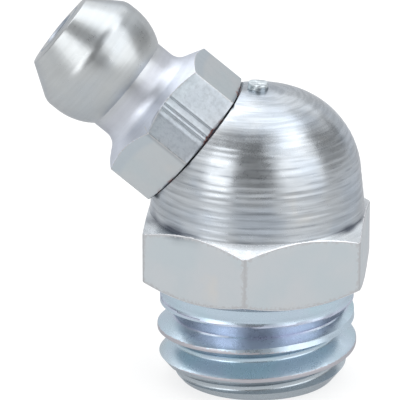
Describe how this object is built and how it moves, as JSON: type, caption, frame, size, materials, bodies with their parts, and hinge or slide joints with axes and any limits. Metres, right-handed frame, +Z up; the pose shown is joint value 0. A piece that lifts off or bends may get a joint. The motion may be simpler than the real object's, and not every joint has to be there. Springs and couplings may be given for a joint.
{
  "type": "angled grease nipple",
  "caption": "Angled grease nipple with a hexagon body, domed top, threaded shank and a ball-valved coupling head on its own small hexagon.",
  "frame": {"origin": "where the shank's axis meets the underside of the body's hexagon, the face that seats on the machine", "axes": "+Z up the shank's axis, away from the machine; the head leans towards -X; X is square to one flat of the body's hexagon"},
  "size_m": [0.0165, 0.0124, 0.0192],
  "materials": {
    "plated_body": "turned steel, bright zinc plate with a blue passivate",
    "plated_head": "turned steel, bright zinc plate with a blue passivate",
    "ball_steel": "ground and polished bearing steel",
    "spring_wire": "drawn spring wire"
  },
  "bodies": {
    "fitting": {"elbow_body": "plated_body", "nipple_head": "plated_head", "valve_spring": "spring_wire"},
    "ball": {"check_ball": "ball_steel"}
  },
  "joints": [
    {"name": "ball_lift", "type": "slide", "parent": "fitting", "child": "ball", "axis": [0.7771, 0, -0.6293], "range_m": [0, 0.0067], "stiffness_N_per_m": 1080, "deforming": ["valve_spring"]}
  ]
}
